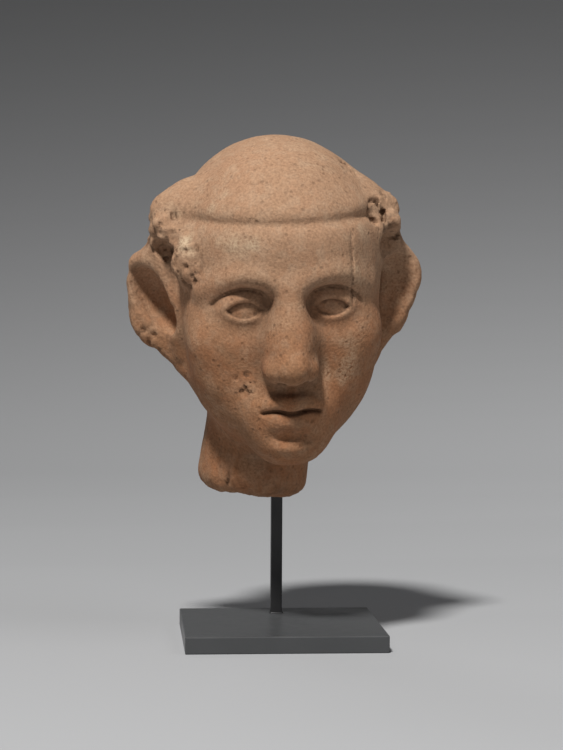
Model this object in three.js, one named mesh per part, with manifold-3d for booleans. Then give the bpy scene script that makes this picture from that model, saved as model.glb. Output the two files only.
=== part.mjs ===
// A moulded terracotta head with outsized ears, broken off below the neck. It stands on a slim
// square steel bar that rises from a small steel plate. The face is a plain, calm one.
// Millimetres, +Z up. The origin is the middle of the plate's underside, and the face looks along -Y.
import * as THREE from "three";
import { SimplifyModifier } from "three/addons/modifiers/SimplifyModifier.js";
import { mergeVertices } from "three/addons/utils/BufferGeometryUtils.js";
import Module from "manifold-3d";

// Stand: stock sizes, a 3/16 inch plate and a 1/8 inch square bar.
const plate = { width: 55.3, depth: 52, thickness: 4.75, edge: 0.35 };
const bar = { side: 3.2, x: 0, y: 17.3, letIn: 3, top: 64 };
const gap = 0.3; // clearance between two pieces that touch

// Head: sizes in its own frame, which has its origin midway between the ears at the height of the eyes.
const headHeight = 87; // crown to chin
const headWidth = 58; // across the temples, without the ears
const headPlace = new THREE.Vector3(-1.6, -1, 97.2);
const headTurn = new THREE.Euler(
  THREE.MathUtils.degToRad(10), // the face looks down
  THREE.MathUtils.degToRad(-2.6), // the chin swings towards +X
  THREE.MathUtils.degToRad(2), // the face turns towards +X
  "ZYX",
);

// The face's guide lines divide the head as a drawing manual does: eyes halfway up, and equal
// thirds from hairline to brow, from brow to the base of the nose, and from there to the chin.
const crownZ = headHeight / 2;
const chinZ = -headHeight / 2;
const eyeWidth = headWidth / 5;
const browZ = 0.072 * headHeight;
const third = (browZ - chinZ) / 2;
const noseBaseZ = browZ - third;
const mouthZ = noseBaseZ - third / 3;

// Solids are functions of a point: below zero inside, above zero outside, in millimetres.
const length = (x, y, z) => Math.sqrt(x * x + y * y + z * z);
const clamp = (value, low, high) => Math.min(high, Math.max(low, value));
const mix = (a, b, share) => a + (b - a) * share;

function egg([cx, cy, cz], [rx, ry, rz]) {
  return (x, y, z) => {
    const px = (x - cx) / rx;
    const py = (y - cy) / ry;
    const pz = (z - cz) / rz;
    const near = length(px, py, pz);
    return (near * (near - 1)) / Math.max(length(px / rx, py / ry, pz / rz), 1e-6);
  };
}

function limb([ax, ay, az], radiusA, [bx, by, bz], radiusB) {
  const dx = bx - ax;
  const dy = by - ay;
  const dz = bz - az;
  const square = dx * dx + dy * dy + dz * dz;
  return (x, y, z) => {
    const along = ((x - ax) * dx + (y - ay) * dy + (z - az) * dz) / square;
    const share = clamp(along, 0, 1);
    const away = length(x - ax - dx * share, y - ay - dy * share, z - az - dz * share);
    return away - mix(radiusA, radiusB, share);
  };
}

// A roll of clay along a smooth curve through the points, each given as x, y, z and radius.
function roll(points, steps = 3) {
  const curve = new THREE.CatmullRomCurve3(points.map(([x, y, z]) => new THREE.Vector3(x, y, z)));
  const count = (points.length - 1) * steps;
  const station = (i) => {
    const share = i / steps;
    const from = Math.min(Math.floor(share), points.length - 2);
    return {
      place: curve.getPoint(i / count).toArray(),
      radius: mix(points[from][3], points[from + 1][3], share - from),
    };
  };
  const parts = [];
  for (let i = 0; i < count; i++) {
    const a = station(i);
    const b = station(i + 1);
    parts.push(limb(a.place, a.radius, b.place, b.radius));
  }
  return (x, y, z) => {
    let least = Infinity;
    for (const part of parts) least = Math.min(least, part(x, y, z));
    return least;
  };
}

function blend(a, b, soft) {
  const overlap = Math.max(soft - Math.abs(a - b), 0) / soft;
  return Math.min(a, b) - (overlap * overlap * soft) / 4;
}
const press = (a, b, soft) => -blend(-a, -b, soft);
const join = (soft, body, added) => (x, y, z) => blend(body(x, y, z), added(x, y, z), soft);
const carve = (soft, body, tool) => (x, y, z) => press(body(x, y, z), -tool(x, y, z), soft);
const bothSides = (solid) => (x, y, z) => solid(Math.abs(x), y, z);

// The bare head: a domed crown, the block of the face, cheekbones, jaw, chin and brow.
function skull() {
  const crown = egg([0.5, 3, 13.5], [headWidth / 2, 34, crownZ - 13.5]);
  const faceBlock = egg([0, -3, -8], [26.5, 25.5, 33]);
  const cheekbones = bothSides(egg([16, -16.5, -9], [9.5, 8, 7.5]));
  const cheeks = bothSides(egg([12.5, -13.5, -20], [10, 10, 11]));
  const jaw = bothSides(limb([18, 2, -21], 7.5, [3.5, -18.5, chinZ + 9.5], 8));
  const chin = egg([0, -22.6, chinZ + 8.3], [8.8, 8.4, 8]);
  const brow = bothSides(
    roll([
      [1.5, -28.2, browZ - 1, 2.2],
      [7, -28.2, browZ + 1.2, 2.4],
      [14, -25.2, browZ + 1.8, 2.5],
      [21.5, -17.6, browZ - 1.4, 2.2],
    ]),
  );
  let head = join(12, crown, faceBlock);
  head = join(8, head, cheekbones);
  head = join(9, head, cheeks);
  head = join(7, head, jaw);
  head = join(6, head, chin);
  return join(4.5, head, brow);
}

// An eye is a ball under two lids that part along an almond, the overlap of two discs.
const eye = { x: eyeWidth, y: -19, z: 0, ball: 7.2, lid: 1, raise: 3.2, drop: 2.4, rim: 0.75 };

function almond(x, z) {
  const half = eyeWidth / 2;
  const upper = (half * half + eye.raise * eye.raise) / (2 * eye.raise);
  const lower = (half * half + eye.drop * eye.drop) / (2 * eye.drop);
  const across = x - eye.x;
  const top = Math.hypot(across, z - eye.z - (eye.raise - upper)) - upper;
  const bottom = Math.hypot(across, z - eye.z - (lower - eye.drop)) - lower;
  return Math.max(top, bottom);
}

function eyeRegion(body) {
  const socket = bothSides(egg([eye.x - 0.4, -30, 0.6], [8.4, 4.9, 5.6]));
  const hollowed = carve(5.5, body, socket);
  const eyes = bothSides((x, y, z) => {
    const ball = length(x - eye.x, y - eye.y, z - eye.z) - eye.ball;
    const opening = almond(x, z);
    const lids = press(ball - eye.lid, -opening, 0.4);
    const heavier = eye.rim + 0.2 * clamp(z - eye.z, -1, 1);
    const rims = Math.hypot(opening - 0.4, ball - eye.lid * 0.7) - heavier;
    return Math.min(ball, blend(lids, rims, 0.8));
  });
  return join(2.6, hollowed, eyes);
}

function nose(body) {
  const bridge = limb([0, -28.6, browZ - 1], 2.9, [0, -35.6, noseBaseZ + 4.9], 3.5);
  const tip = egg([0, -35.9, noseBaseZ + 4.1], [3.9, 4.2, 3.9]);
  const flanks = egg([0, -29, -9.5], [7, 6.5, 11]);
  const wings = bothSides(egg([4.4, -31.6, noseBaseZ + 3.1], [3.1, 4.3, 3.1]));
  const nostrils = bothSides(egg([2.5, -33.8, noseBaseZ - 0.1], [1.3, 2.3, 1.8]));
  let head = join(4, body, flanks);
  head = join(5, head, bridge);
  head = join(2.5, head, tip);
  head = join(3, head, wings);
  return carve(0.8, head, nostrils);
}

function mouth(body) {
  const muzzle = egg([0, -20.4, -27], [13.5, 10.3, 10.5]);
  const upperLip = bothSides(
    roll([
      [0, -30.3, mouthZ + 1.8, 1.9],
      [2.2, -30.6, mouthZ + 2.3, 2.1],
      [5.4, -29.2, mouthZ + 1.7, 1.9],
      [8.4, -26.8, mouthZ + 0.8, 1.3],
    ]),
  );
  const lowerLip = bothSides(
    roll([
      [0, -29.6, mouthZ - 2.7, 2.8],
      [4, -28.9, mouthZ - 2.3, 2.5],
      [8, -26.8, mouthZ - 0.4, 1.4],
    ]),
  );
  const underLip = egg([0, -31.8, mouthZ - 7.4], [7, 2.4, 1.8]);
  let head = join(6, body, muzzle);
  head = join(2, head, upperLip);
  head = join(2, head, lowerLip);
  return carve(2.5, head, underLip);
}

// Each ear is a flap with an egg outline, swung back, with a bowl pressed in its front. Its places
// are given along the flap, ahead of it and upwards. The -X ear has a deep, narrow bowl behind a
// rolled front edge, the other a wide and shallow one.
const earRoot = [26, 0.5];
const earThick = 3.4; // half the flap's thickness
const earBack = egg([5, -2.2, -1], [8, 4.2, 12]); // the swelling behind the bowl
const wideEar = {
  side: 1,
  swing: THREE.MathUtils.degToRad(5),
  circles: [[4, 3.2, 11.2], [2.2, -5.6, 9.2], [-1.6, -16.5, 4.8]],
  bowlLean: 0.25, // how far a bowl moves outwards as it rises
  bowls: [egg([4.2, 6, 0.5], [9.4, 5.6, 12.5]), egg([-0.5, 3, -1], [4.6, 5.4, 8.5])],
};
const deepEar = {
  side: -1,
  swing: THREE.MathUtils.degToRad(20),
  circles: [[4.6, 2.6, 11.7], [4.6, -4.5, 11.2], [-1.5, -17, 5.5]],
  bowlLean: 0.42,
  bowls: [egg([7.2, 4.4, -0.6], [6, 6.4, 9.8])],
  frontEdge: roll([
    [12.4, 1.6, 9.8, 2.2],
    [7.4, 3.6, 10.6, 2.5],
    [3.2, 5.4, 7, 2.6],
    [1, 6, 0.5, 2.5],
    [0.4, 5.2, -8, 2.4],
    [0, 3, -15, 2],
  ]),
};

// An outline in a plane, round a row of circles and their tangents.
function outlineRound(circles) {
  return (x, z) => {
    let least = Infinity;
    for (let i = 1; i < circles.length; i++) {
      const [ax, az, radiusA] = circles[i - 1];
      const [bx, bz, radiusB] = circles[i];
      const [dx, dz] = [bx - ax, bz - az];
      const share = clamp(((x - ax) * dx + (z - az) * dz) / (dx * dx + dz * dz), 0, 1);
      const away = Math.hypot(x - ax - dx * share, z - az - dz * share);
      least = Math.min(least, away - mix(radiusA, radiusB, share));
    }
    return least;
  };
}

function addEar(body, { side, swing, circles, bowlLean, bowls, frontEdge }) {
  const cosine = Math.cos(swing);
  const sine = Math.sin(swing);
  const onFlap = (solid) => (x, y, z) => {
    const dx = side * x - earRoot[0];
    const dy = y - earRoot[1];
    return solid(dx * cosine + dy * sine, dx * sine - dy * cosine, z);
  };
  const outline = outlineRound(circles);
  const flap = onFlap((along, ahead, z) => {
    const edge = outline(along, z);
    const sheet = press(edge, Math.abs(ahead) - earThick, 3.6);
    return blend(sheet, press(edge, earBack(along, ahead, z), 2), 3);
  });
  let head = join(3, body, flap);
  if (frontEdge) head = join(2.5, head, onFlap(frontEdge));
  for (const bowl of bowls) {
    head = carve(1.6, head, onFlap((along, ahead, z) => bowl(along - bowlLean * z, ahead, z)));
  }
  return head;
}

const ears = (body) => addEar(addEar(body, wideEar), deepEar);

// Above the ears, a rough clump of hair stands out at each temple over a small hollow, the one on
// the +X side a little lower. Rows of short curls run round the back of the bald crown.
const hair = { middle: [28.6, -2, 20], size: [6.2, 8, 8.4], droop: 1.3, inwards: 1 };
const shoulders = [
  { place: [23, -2, 26], radius: 3.6 },
  { place: [-24.2, -2, 27.6], radius: 4.2 },
];
const hollows = [
  { soft: 2.6, hollow: egg([31.2, -9.2, 14], [4.2, 4.6, 3.8]) },
  { soft: 1, hollow: egg([-31.8, -8.6, 13.9], [3.8, 5.4, 3.3]) },
];
const templeLock = egg([-25.2, -13, 11.8], [5, 5.6, 6.6]);
const curls = { count: 5, radius: 3.4, out: 2.6, across: 4.6, up: 5, start: 0.5 };
const locks = { count: 8, rows: 3, radius: 4, centreY: 3, ring: [26.4, 31.6], top: 19, fall: 5, row: 6.4 };

function anyOf(balls, radius) {
  return (x, y, z) => {
    let least = Infinity;
    for (const [cx, cy, cz] of balls) least = Math.min(least, length(x - cx, y - cy, z - cz));
    return least - radius;
  };
}

function sideHair(body) {
  const drooping = (solid) => (x, y, z) => {
    const lower = x > 0;
    return solid(Math.abs(x) + (lower ? hair.inwards : 0), y, z + (lower ? hair.droop : 0));
  };
  const [hairX, hairY, hairZ] = hair.middle;
  const curlPlaces = Array.from({ length: curls.count }, (_, i) => {
    const turn = (i / curls.count) * 2 * Math.PI + curls.start;
    const up = hairZ + curls.up * Math.sin(turn);
    return [hairX + curls.out, hairY + curls.across * Math.cos(turn), up];
  });
  const lockPlaces = [];
  for (let i = 0; i < locks.count; i++) {
    for (let row = 0; row < locks.rows; row++) {
      const turn = ((i + 1 - (row % 2) / 2) / locks.count) * (Math.PI / 2);
      const lockX = locks.ring[0] * Math.cos(turn);
      const lockY = locks.centreY + locks.ring[1] * Math.sin(turn);
      lockPlaces.push([lockX, lockY, locks.top - row * locks.row - locks.fall * Math.sin(turn)]);
    }
  }
  let head = join(2.5, body, bothSides(anyOf(lockPlaces, locks.radius)));
  head = join(7, head, drooping(egg(hair.middle, hair.size)));
  head = join(2, head, drooping(anyOf(curlPlaces, curls.radius)));
  for (const { place, radius } of shoulders) head = join(7, head, anyOf([place], radius));
  head = join(3, head, templeLock);
  for (const { soft, hollow } of hollows) head = carve(soft, head, hollow);
  return head;
}

// Lines pressed into the surface: a shallow crease from clump to clump below the bulge of the
// bald crown, the fold over each upper lid, the parting of the lips and the groove above them.
const crease = { z: 23, depth: 0.65, width: 1.3 };
const swellings = [
  { up: 3.8, height: 0.6, width: 2.8 },
  { up: -4.2, height: 0.3, width: 3.2 },
];
const lidFold = { depth: 0.5, width: 0.8, away: 2.8, from: 5 };
const parting = { depth: 1, width: 0.8, half: 8.8, wave: 0.35 };
const philtrum = { depth: 0.5, width: 1.2 };
const fade = (distance, width) => Math.exp(-((distance / width) ** 2));

function lineDepth(x, y, z) {
  const across = Math.abs(x);
  let forehead = crease.depth * fade(z - crease.z, crease.width);
  for (const { up, height, width } of swellings) forehead -= height * fade(z - crease.z - up, width);
  const besideNose = clamp((across - lidFold.from) / 2, 0, 1) * clamp((z - eye.z) / 1.5, 0, 1);
  const overLid = besideNose * fade(almond(across, z) - lidFold.away, lidFold.width);
  const bow = parting.wave * Math.cos((2 * Math.PI * across) / parting.half);
  const lipLine = fade(z - mouthZ + 0.3 + bow, parting.width) * clamp((parting.half - across) / 1.5, 0, 1);
  const [low, high] = [mouthZ + 3.8, noseBaseZ - 1];
  const groove = fade(x, philtrum.width) * clamp(z - low, 0, 1) * clamp(high - z, 0, 1);
  const lines = forehead + lidFold.depth * overLid + parting.depth * lipLine + philtrum.depth * groove;
  return clamp((-y - 4) / 8, 0, 1) * lines;
}

function lined(body) {
  return (x, y, z) => {
    const bare = body(x, y, z);
    return Math.abs(bare) > 6 ? bare : bare + lineDepth(x, y, z);
  };
}

// The neck leans towards -X under the head and is deeper than it is wide. It is broken off
// level with the stand, with worn edges.
const neckTop = [-1.5, 7, -16];
const neckFoot = [-8.5, 5, -58];
const neckRadius = 15.2;
const neckDepth = 1.25; // times its width
const breakHeight = 39.4; // above the underside of the plate, at the bar
const breakLean = THREE.MathUtils.degToRad(7); // the break rises towards -X

function neck(body) {
  const [top, foot] = [neckTop, neckFoot].map(([x, y, z]) => [x, y / neckDepth, z]);
  const below = foot.map((value, i) => value + (value - top[i]) * 0.5);
  const column = limb(top, neckRadius, below, neckRadius);
  return join(5, body, (x, y, z) => column(x, y / neckDepth, z));
}

const headMatrix = new THREE.Matrix4().makeRotationFromEuler(headTurn).setPosition(headPlace);

function brokenOff(body) {
  const facing = new THREE.Vector3(-Math.sin(breakLean), 0, -Math.cos(breakLean));
  const down = facing.transformDirection(headMatrix.clone().invert());
  const place = new THREE.Vector3(0, 0, breakHeight).applyMatrix4(headMatrix.clone().invert());
  const level = down.dot(place);
  return (x, y, z) => {
    const ripple = 0.3 * Math.sin(0.45 * x + 1) + 0.3 * Math.sin(0.5 * y + 0.3 * x);
    const beyond = down.x * x + down.y * y + down.z * z - level + ripple;
    return press(body(x, y, z), beyond, 6);
  };
}

const bareHead = lined(ears(mouth(nose(eyeRegion(skull())))));
const headField = brokenOff(neck(sideHair(bareHead)));

// The head's surface is netted over a grid of small cells, then thinned where it is smooth.
const cell = 1.1;
const headVertices = 4850;
const reach = [[-46, 46], [-43, 42], [-66, 46]]; // of the grid along each axis

function ticks([from, to]) {
  const count = Math.ceil((to - from) / cell);
  return Array.from({ length: count + 1 }, (_, i) => mix(from, to, i / count));
}

// A cell's corners are numbered by three bits, one for each axis.
const corners = [0, 1, 2, 3, 4, 5, 6, 7];
const steps = [1, 2, 4];

// Where a cell's corners on one side of the surface don't hang together, the net would pinch.
function pinches(inside) {
  return [true, false].some((side) => {
    const group = corners.filter((corner) => inside[corner] === side);
    const reached = new Set(group.slice(0, 1));
    for (const corner of reached) {
      for (const step of steps) {
        if (inside[corner ^ step] === side) reached.add(corner ^ step);
      }
    }
    return reached.size < group.length;
  });
}

function netted(field, axes) {
  const counts = axes.map((axis) => axis.length);
  const strides = [1, counts[0], counts[0] * counts[1]];
  const nodeOf = (place) => place[0] + place[1] * strides[1] + place[2] * strides[2];
  const cornerOf = (node, corner) => {
    return node + steps.reduce((sum, step, axis) => sum + (corner & step ? strides[axis] : 0), 0);
  };
  const eachNode = (last, visit) => {
    for (let k = 0; k < counts[2] - last; k++) {
      for (let j = 0; j < counts[1] - last; j++) {
        for (let i = 0; i < counts[0] - last; i++) visit([i, j, k]);
      }
    }
  };

  const values = new Float64Array(counts[0] * counts[1] * counts[2]);
  eachNode(0, (place) => {
    values[nodeOf(place)] = field(...place.map((index, axis) => axes[axis][index]));
  });

  // Only what the grid's first corner reaches is outside, so nothing hollow is left within.
  const open = new Uint8Array(values.length);
  const waiting = [0];
  while (waiting.length > 0) {
    const node = waiting.pop();
    if (open[node] || !(values[node] >= 0)) continue; // past the ends there is no value
    open[node] = 1;
    for (const stride of strides) waiting.push(node - stride, node + stride);
  }
  open.forEach((reached, node) => {
    if (!reached && values[node] >= 0) values[node] = -1e-3;
  });

  // Outside corners join the inside until no cell pinches.
  for (let changed = true; changed; ) {
    changed = false;
    eachNode(1, (place) => {
      const nodes = corners.map((corner) => cornerOf(nodeOf(place), corner));
      if (!pinches(nodes.map((node) => values[node] < 0))) return;
      const outside = nodes.filter((node) => values[node] >= 0);
      const nearest = outside.reduce((a, b) => (values[b] < values[a] ? b : a));
      values[nearest] = -1e-3;
      changed = true;
    });
  }

  // One vertex in each cell that the surface crosses, drawn onto the surface.
  const vertices = [];
  const vertexOf = new Map();
  eachNode(1, (place) => {
    const node = nodeOf(place);
    const crossings = [];
    for (const corner of corners) {
      steps.forEach((step, axis) => {
        const [a, b] = [cornerOf(node, corner), cornerOf(node, corner | step)];
        if (a === b || values[a] < 0 === values[b] < 0) return;
        const point = place.map((index, other) => axes[other][index + (corner & steps[other] ? 1 : 0)]);
        const share = values[a] / (values[a] - values[b]);
        point[axis] = mix(axes[axis][place[axis]], axes[axis][place[axis] + 1], share);
        crossings.push(point);
      });
    }
    if (crossings.length === 0) return;
    const low = place.map((index, axis) => axes[axis][index]);
    const high = place.map((index, axis) => axes[axis][index + 1]);
    const middle = [0, 1, 2].map((axis) => {
      return crossings.reduce((sum, point) => sum + point[axis], 0) / crossings.length;
    });
    vertexOf.set(node, vertices.length / 3);
    vertices.push(...onSurface(field, middle, low, high));
  });

  // Four cells meet at each grid edge that the surface crosses, and give two triangles.
  const triangles = [];
  eachNode(1, (place) => {
    const node = nodeOf(place);
    for (let axis = 0; axis < 3; axis++) {
      const inside = values[node] < 0;
      if (inside === values[node + strides[axis]] < 0) continue;
      const [b, c] = [strides[(axis + 1) % 3], strides[(axis + 2) % 3]];
      const ring = [node, node - b, node - b - c, node - c].map((other) => vertexOf.get(other));
      if (!inside) ring.reverse();
      const diagonal = (i) => {
        const [p, q] = [3 * ring[i], 3 * ring[i + 2]];
        const [dx, dy, dz] = [0, 1, 2].map((part) => vertices[p + part] - vertices[q + part]);
        return length(dx, dy, dz);
      };
      const first = diagonal(0) < diagonal(1) ? 0 : 1;
      const [p, q, r, t] = [0, 1, 2, 3].map((i) => ring[(i + first) % 4]);
      triangles.push(p, q, r, p, r, t);
    }
  });
  const geometry = new THREE.BufferGeometry();
  geometry.setAttribute("position", new THREE.Float32BufferAttribute(vertices, 3));
  geometry.setIndex(triangles);
  return geometry;
}

// Steps down the field's slope to the surface, without leaving the cell.
function onSurface(field, start, low, high) {
  const nudge = 0.02;
  let point = start;
  for (let step = 0; step < 3; step++) {
    const value = field(...point);
    const slope = point.map((_, axis) => {
      const moved = [...point];
      moved[axis] += nudge;
      return (field(...moved) - value) / nudge;
    });
    const square = Math.max(slope.reduce((sum, part) => sum + part * part, 0), 0.01);
    point = point.map((at, axis) => clamp(at - (slope[axis] * value) / square, low[axis], high[axis]));
  }
  return point;
}

const wasm = await Module();
wasm.setup();

function solid(geometry) {
  const bare = geometry.clone();
  bare.deleteAttribute("normal");
  bare.deleteAttribute("uv");
  const { index, attributes } = mergeVertices(bare, 1e-4);
  const vertProperties = new Float32Array(attributes.position.array);
  const triVerts = new Uint32Array(index.array);
  return new wasm.Manifold(new wasm.Mesh({ numProp: 3, vertProperties, triVerts }));
}

function cut(geometry, tool) {
  const { vertProperties, triVerts } = solid(geometry).subtract(solid(tool)).getMesh();
  const result = new THREE.BufferGeometry();
  result.setAttribute("position", new THREE.BufferAttribute(vertProperties, 3));
  result.setIndex(new THREE.BufferAttribute(triVerts, 1));
  result.computeVertexNormals();
  return result;
}

// An upright square post round the bar's middle line.
function post(side, from, to) {
  const geometry = new THREE.BoxGeometry(side, side, to - from);
  return geometry.translate(bar.x, bar.y, (from + to) / 2);
}

function named(name, geometry, look) {
  const mesh = new THREE.Mesh(geometry, new THREE.MeshStandardMaterial(look));
  mesh.name = name;
  return mesh;
}

const hole = bar.side + 2 * gap;
const pocketFloor = plate.thickness - bar.letIn;
const terracotta = { color: 0xa97b5d, roughness: 0.95, metalness: 0 };
const darkPaint = { color: 0x2c2d2f, roughness: 0.5, metalness: 0 };

async function makeHead() {
  const fine = netted(headField, reach.map(ticks));
  const spare = fine.attributes.position.count - headVertices;
  const form = await new SimplifyModifier().modify(fine, spare);
  const socket = post(hole, breakHeight - 12, bar.top + gap).applyMatrix4(headMatrix.clone().invert());
  const mesh = named("terracotta_head", cut(form, socket), terracotta);
  mesh.position.copy(headPlace);
  mesh.rotation.copy(headTurn);
  return mesh;
}

function makeBar() {
  return named("support_bar", post(bar.side, pocketFloor + gap, bar.top), darkPaint);
}

function makePlate() {
  const [w, d] = [plate.width / 2 - plate.edge, plate.depth / 2 - plate.edge];
  const outline = [[-w, -d], [w, -d], [w, d], [-w, d]].map(([x, y]) => new THREE.Vector2(x, y));
  const slab = new THREE.ExtrudeGeometry(new THREE.Shape(outline), {
    depth: plate.thickness - 2 * plate.edge,
    bevelThickness: plate.edge,
    bevelSize: plate.edge,
    bevelSegments: 1,
  });
  slab.translate(0, 0, plate.edge);
  return named("base_plate", cut(slab, post(hole, pocketFloor, plate.thickness + 1)), darkPaint);
}

const figurine = new THREE.Group();
figurine.add(await makeHead(), makeBar(), makePlate());
export default figurine;
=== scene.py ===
# Looks for a terracotta head with outsized ears on a small dark steel stand.
import math
import bmesh
import bpy
import numpy as np
from mathutils import Matrix, Vector


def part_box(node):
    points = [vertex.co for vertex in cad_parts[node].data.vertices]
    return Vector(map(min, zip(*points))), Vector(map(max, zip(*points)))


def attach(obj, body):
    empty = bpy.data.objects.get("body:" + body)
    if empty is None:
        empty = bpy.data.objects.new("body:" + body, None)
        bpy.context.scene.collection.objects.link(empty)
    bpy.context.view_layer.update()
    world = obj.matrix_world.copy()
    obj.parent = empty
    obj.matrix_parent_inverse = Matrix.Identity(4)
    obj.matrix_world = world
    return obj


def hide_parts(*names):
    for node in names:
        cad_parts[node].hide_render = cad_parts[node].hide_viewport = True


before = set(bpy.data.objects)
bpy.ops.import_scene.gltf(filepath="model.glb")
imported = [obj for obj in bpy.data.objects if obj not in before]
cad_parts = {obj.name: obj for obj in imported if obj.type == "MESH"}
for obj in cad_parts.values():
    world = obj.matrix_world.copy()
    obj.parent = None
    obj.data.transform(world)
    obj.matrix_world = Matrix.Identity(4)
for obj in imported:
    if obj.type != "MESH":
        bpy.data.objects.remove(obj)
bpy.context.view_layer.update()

mm = 0.001


# The head's form. Sizes are in millimetres in the head's own frame, which starts midway between
# the ears at the height of the eyes. The face looks along -Y.
headForm = {
    "height": 87,  # crown to chin
    "width": 58,  # across the temples
    "place": (-1.6, -1, 97.2),  # of the frame's start, on the stand
    "nod": 10,  # degrees about X, the face looks down
    "tilt": -2.6,  # about Y, the chin swings to +X
    "turn": 2,  # about Z, the face turns to +X
    "cell": 0.59,  # size of the mesh's faces
    "quickCell": 0.9,
}
crownZ = headForm["height"] / 2
chinZ = -headForm["height"] / 2
eyeWidth = headForm["width"] / 5
browZ = 0.072 * headForm["height"]
third = (browZ - chinZ) / 2
noseBaseZ = browZ - third
mouthZ = noseBaseZ - third / 3


def placed(matrix, points):
    turned = np.array(matrix.to_3x3(), np.float32)
    return points @ turned.T + np.array(matrix.translation, np.float32)


headMatrix = (
    Matrix.Translation(headForm["place"])
    @ Matrix.Rotation(math.radians(headForm["turn"]), 4, "Z")
    @ Matrix.Rotation(math.radians(headForm["tilt"]), 4, "Y")
    @ Matrix.Rotation(math.radians(headForm["nod"]), 4, "X")
)
headBack = headMatrix.inverted()


# Forms are worked out at many points at once, a row of x, y and z for each. The results are
# below zero inside and above zero outside.
def size(vectors):
    return np.sqrt(np.einsum("ij,ij->i", vectors, vectors))


def egg(p, centre, radii):
    scaled = (p - np.array(centre, np.float32)) / np.array(radii, np.float32)
    near = size(scaled)
    return near * (near - 1) / np.maximum(size(scaled / np.array(radii, np.float32)), 1e-6)


def limb(p, a, radiusA, b, radiusB):
    start = np.array(a, np.float32)
    way = np.array(b, np.float32) - start
    share = np.clip((p - start) @ way / (way @ way), 0, 1)
    return size(p - start - share[:, None] * way) - (radiusA + (radiusB - radiusA) * share)


def smoothPath(points, steps):
    ends = np.array(points, float)
    padded = np.vstack([2 * ends[0] - ends[1], ends, 2 * ends[-1] - ends[-2]])
    made = []
    for i in range(len(ends) - 1):
        a, b, c, d = padded[i : i + 4]
        for t in np.arange(steps) / steps:
            bend = (2 * a - 5 * b + 4 * c - d) * t**2 + (3 * b - a - 3 * c + d) * t**3
            spot = 0.5 * (2 * b + (c - a) * t + bend)
            spot[3] = b[3] + (c[3] - b[3]) * t
            made.append(spot)
    return made + [ends[-1]]


def roll(p, points, steps=3):
    path = smoothPath(points, steps)
    least = None
    for a, b in zip(path, path[1:]):
        piece = limb(p, a[:3], a[3], b[:3], b[3])
        least = piece if least is None else np.minimum(least, piece)
    return least


def join(soft, body, added):
    overlap = np.maximum(soft - np.abs(body - added), 0) / soft
    return np.minimum(body, added) - overlap * overlap * soft / 4


def press(soft, body, other):
    return -join(soft, -body, -other)


def carve(soft, body, tool):
    return press(soft, body, -tool)


def mirrored(p):
    return np.column_stack([np.abs(p[:, 0]), p[:, 1], p[:, 2]])


def fade(distance, width):
    return np.exp(-((distance / width) ** 2))


def ramp(value, low, high):
    share = np.clip((value - low) / (high - low), 0, 1)
    return share * share * (3 - 2 * share)


# Smooth random values from -1 to 1 on a lattice with the given spacing.
def latticeValue(ix, iy, iz, seed):
    mixed = ix * np.uint32(374761393) + iy * np.uint32(668265263) + iz * np.uint32(2246822519)
    mixed = mixed + np.uint32(seed * 97531)
    mixed = (mixed ^ (mixed >> np.uint32(13))) * np.uint32(1274126177)
    mixed = (mixed ^ (mixed >> np.uint32(15))) * np.uint32(2654435761)
    return ((mixed >> np.uint32(8)) & np.uint32(65535)).astype(np.float32) / 32767.5 - 1


def clayNoise(p, spacing, seed):
    scaled = p / spacing + 1000
    whole = np.floor(scaled)
    t = (scaled - whole).astype(np.float32)
    t = t * t * t * (t * (t * 6 - 15) + 10)
    corner = whole.astype(np.uint32)
    total = 0
    for bits in range(8):
        dx, dy, dz = bits & 1, bits >> 1 & 1, bits >> 2 & 1
        weight = np.abs(1 - dx - t[:, 0]) * np.abs(1 - dy - t[:, 1]) * np.abs(1 - dz - t[:, 2])
        at = [corner[:, axis] + np.uint32(step) for axis, step in enumerate((dx, dy, dz))]
        total = total + weight * latticeValue(*at, seed)
    return total


def skull(p, side):
    head = join(12, egg(p, (0.5, 3, 13.5), (headForm["width"] / 2, 34, crownZ - 13.5)),
                egg(p, (0, -3, -8), (26.5, 25.5, 33)))
    head = join(8, head, egg(side, (16, -16.5, -9), (9.5, 8, 7.5)))
    head = join(9, head, egg(side, (12.5, -13.5, -20), (10, 10, 11)))
    head = join(7, head, limb(side, (18, 2, -21), 7.5, (3.5, -18.5, chinZ + 9.5), 8))
    head = join(6, head, egg(p, (0, -22.6, chinZ + 8.3), (8.8, 8.4, 8)))
    brow = [
        (1.5, -28.2, browZ - 1, 2.2),
        (7, -28.2, browZ + 1.2, 2.4),
        (14, -25.2, browZ + 1.8, 2.5),
        (21.5, -17.6, browZ - 1.4, 2.2),
    ]
    return join(4.5, head, roll(side, brow))


# An eye is a ball under two lids that part along an almond, the overlap of two discs.
eyeForm = {
    "middle": (eyeWidth, -19, 0),
    "ball": 7.2,
    "lid": 1,
    "raise": 3.2,
    "drop": 2.4,
    "rim": 0.75,
}


def almond(side):
    half = eyeWidth / 2
    upper = (half**2 + eyeForm["raise"] ** 2) / (2 * eyeForm["raise"])
    lower = (half**2 + eyeForm["drop"] ** 2) / (2 * eyeForm["drop"])
    across = side[:, 0] - eyeForm["middle"][0]
    top = np.hypot(across, side[:, 2] - (eyeForm["raise"] - upper)) - upper
    bottom = np.hypot(across, side[:, 2] - (lower - eyeForm["drop"])) - lower
    return np.maximum(top, bottom)


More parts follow.
